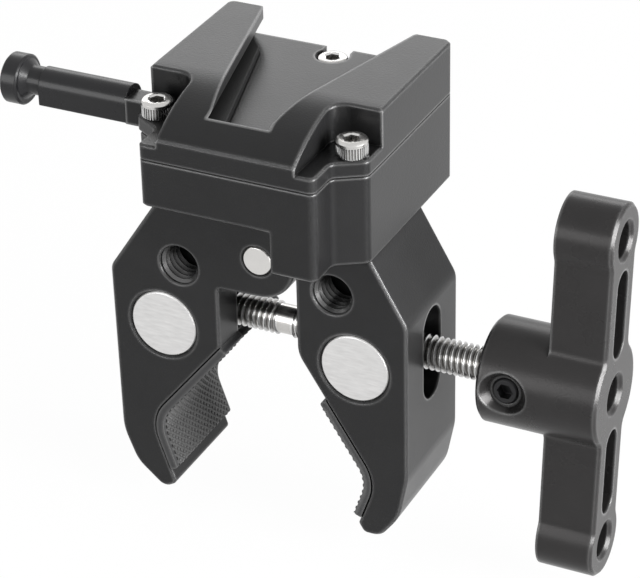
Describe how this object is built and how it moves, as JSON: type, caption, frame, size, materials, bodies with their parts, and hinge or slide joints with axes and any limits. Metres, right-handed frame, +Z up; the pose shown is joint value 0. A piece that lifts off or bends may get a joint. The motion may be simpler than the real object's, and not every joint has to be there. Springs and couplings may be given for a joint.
{
  "type": "crab clamp",
  "caption": "Screw-closed crab clamp with two padded claw jaws, a T-handle on a two-hand threaded rod, and a V-lock dovetail top with a side release lever.",
  "frame": {"origin": "centre of the gripped tube: half way through the jaws' thickness, between the hollows of the two pads", "axes": "+X along the threaded rod to the T-handle, -Y to the front face with the pin and nut ends, +Z up to the V-lock top"},
  "size_m": [0.1417, 0.0568, 0.1059],
  "materials": {
    "black_metal": "satin black coating",
    "black_handle": "satin black coating",
    "bright_steel": "bright turned steel",
    "nut_steel": "turned steel",
    "black_rubber": "matte, diamond knurled",
    "gloss_grip": "gloss black",
    "black_steel": "black oxide"
  },
  "bodies": {
    "frame": {"clamp_body": "black_metal", "top_plate": "black_metal", "plate_screw_left": "bright_steel", "plate_screw_right": "bright_steel", "plate_screw_rear": "bright_steel", "hinge_pin": "bright_steel", "fixed_pad": "black_rubber", "lever_pivot_pin": "bright_steel", "latch_spring_front": "bright_steel", "latch_spring_rear": "bright_steel"},
    "left_jaw": {"moving_jaw": "black_metal", "moving_pad": "black_rubber"},
    "left_nut": {"moving_nut": "nut_steel"},
    "right_nut": {"fixed_nut": "nut_steel"},
    "rod": {"clamp_rod": "bright_steel"},
    "handle": {"t_handle": "black_handle", "handle_set_screw": "black_steel"},
    "lever": {"release_lever": "black_metal", "lever_sleeve": "gloss_grip"},
    "latch": {"latch_bar": "black_metal"}
  },
  "joints": [
    {"name": "handle_turn", "type": "hinge", "parent": "rod", "child": "handle", "pos_m": [0.0579, 0, 0.028], "axis": [1, 0, 0], "range_deg": [0, 2063.8]},
    {"name": "rod_feed", "type": "slide", "parent": "right_nut", "child": "rod", "axis": [1, 0, 0], "range_m": [0, 0.00812]},
    {"name": "rod_tilt", "type": "hinge", "parent": "frame", "child": "right_nut", "pos_m": [0.0231, 0, 0.028], "axis": [0, -1, 0], "range_deg": [0, 18.3]},
    {"name": "jaw_swing", "type": "hinge", "parent": "frame", "child": "left_jaw", "pos_m": [0, 0, 0.0499], "axis": [0, -1, 0], "range_deg": [0, 35.2]},
    {"name": "left_nut_tilt", "type": "hinge", "parent": "left_jaw", "child": "left_nut", "pos_m": [-0.0244, 0, 0.028], "axis": [0, 1, 0], "range_deg": [0, 17]},
    {"name": "latch_slide", "type": "slide", "parent": "frame", "child": "latch", "axis": [-1, 0, 0], "range_m": [0, 0.00262], "stiffness_N_per_m": 400, "springref_m": -0.003, "deforming": ["latch_spring_front", "latch_spring_rear"]},
    {"name": "lever_swing", "type": "hinge", "parent": "frame", "child": "lever", "pos_m": [-0.0233, 0.003, 0.0782], "axis": [0, 0, -1], "range_deg": [0, 14]}
  ],
  "couplings": [
    {"joint": "rod_feed", "follows": "handle_turn", "m_per_rad": 0.00022457},
    {"joint": "rod_tilt", "follows": "handle_turn", "ratio": 0.0088187},
    {"joint": "jaw_swing", "follows": "handle_turn", "ratio": 0.016959},
    {"joint": "left_nut_tilt", "follows": "handle_turn", "ratio": 0.0081403},
    {"joint": "lever_swing", "follows": "latch_slide", "rad_per_m": 90.97}
  ]
}
